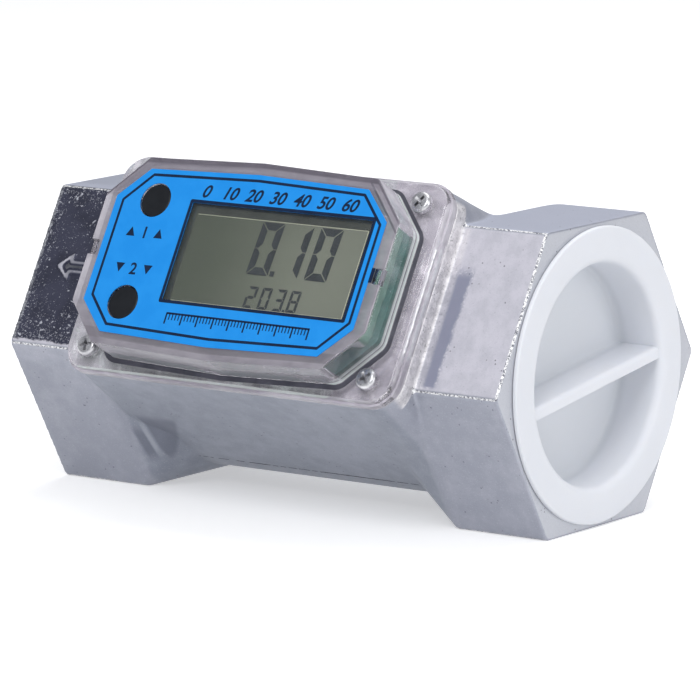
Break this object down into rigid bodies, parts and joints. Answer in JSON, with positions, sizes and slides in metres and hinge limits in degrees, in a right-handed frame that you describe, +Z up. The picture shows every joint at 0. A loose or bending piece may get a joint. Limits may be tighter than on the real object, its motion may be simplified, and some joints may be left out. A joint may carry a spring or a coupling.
{
  "type": "digital turbine flow meter",
  "caption": "Cast-body turbine flow meter with hexagonal pipe ports, a clear-covered digital display, press buttons and a push-in port cap.",
  "frame": {"origin": "on the flow axis, at the centre of the outlet end face, where the outlet port opens", "axes": "+X along the flow axis, from the outlet to the inlet; +Z up, with the meter lying on one flat of its hexagonal collars; the display looks towards -Y and 30 degrees up"},
  "size_m": [0.1471, 0.1025, 0.0866],
  "materials": {
    "cast_aluminium": "sand-textured die casting, bare",
    "support_plastic": "moulded, glass filled",
    "rotor_plastic": "moulded, smooth",
    "spring_steel": "oiled, dark",
    "ground_steel": "ground",
    "bronze": "sintered",
    "washer_plastic": "smooth",
    "magnet": "nickel plated",
    "bobbin_plastic": "moulded",
    "copper": "enamelled wire",
    "ferrite": "pressed",
    "tinned_wire": "tinned",
    "tray_plastic": "moulded",
    "battery_jacket": "plain printed sleeve",
    "board_green": "solder mask",
    "chip_black": "moulded",
    "can_metal": "satin",
    "capacitor_sleeve": "shrunk sleeve",
    "white_plastic": "moulded",
    "contact_rubber": "layered",
    "display_glass": "grey-green polariser",
    "reflector": "pearl",
    "screw_steel": "zinc plated",
    "chrome": "polished plating",
    "gasket_rubber": "flat sheet, pale grey",
    "clear_plastic": "clear, moulded",
    "label_blue": "printed film, satin",
    "button_rubber": "smooth",
    "cap_white": "moulded, slightly waxy"
  },
  "bodies": {
    "meter_body": {"body": "cast_aluminium", "outlet_support": "support_plastic", "inlet_support": "support_plastic", "retaining_rings": "spring_steel", "rotor_shaft": "ground_steel", "thrust_washers": "washer_plastic", "coil_bobbin": "bobbin_plastic", "coil_winding": "copper", "coil_core": "ferrite", "coil_pins": "tinned_wire", "battery_tray": "tray_plastic", "batteries": "battery_jacket", "battery_contacts": "tinned_wire", "circuit_board": "board_green", "controller_chip": "chip_black", "quartz_crystal": "can_metal", "capacitors": "capacitor_sleeve", "tactile_switches": "chip_black", "lcd_holder": "white_plastic", "contact_strips": "contact_rubber", "lcd_glass": "display_glass", "lcd_backing": "reflector", "board_screws": "screw_steel", "cover_gasket": "gasket_rubber", "clear_cover": "clear_plastic", "face_label": "label_blue", "cover_screws": "chrome"},
    "rotor": {"rotor": "rotor_plastic", "rotor_bushings": "bronze", "rotor_magnets": "magnet"},
    "display_button": {"display_button": "button_rubber"},
    "calibrate_button": {"calibrate_button": "button_rubber"},
    "inlet_cap": {"inlet_cap": "cap_white"}
  },
  "joints": [
    {"name": "rotor_spin", "type": "hinge", "parent": "meter_body", "child": "rotor", "pos_m": [0.073, 0, 0], "axis": [1, 0, 0], "continuous": true},
    {"name": "display_button_press", "type": "slide", "parent": "meter_body", "child": "display_button", "axis": [0, 0.866, -0.5], "range_m": [0, 0.0008], "stiffness_N_per_m": 800},
    {"name": "calibrate_button_press", "type": "slide", "parent": "meter_body", "child": "calibrate_button", "axis": [0, 0.866, -0.5], "range_m": [0, 0.0008], "stiffness_N_per_m": 800},
    {"name": "inlet_cap_pull", "type": "slide", "parent": "meter_body", "child": "inlet_cap", "axis": [1, 0, 0], "range_m": [0, 0.09]}
  ]
}
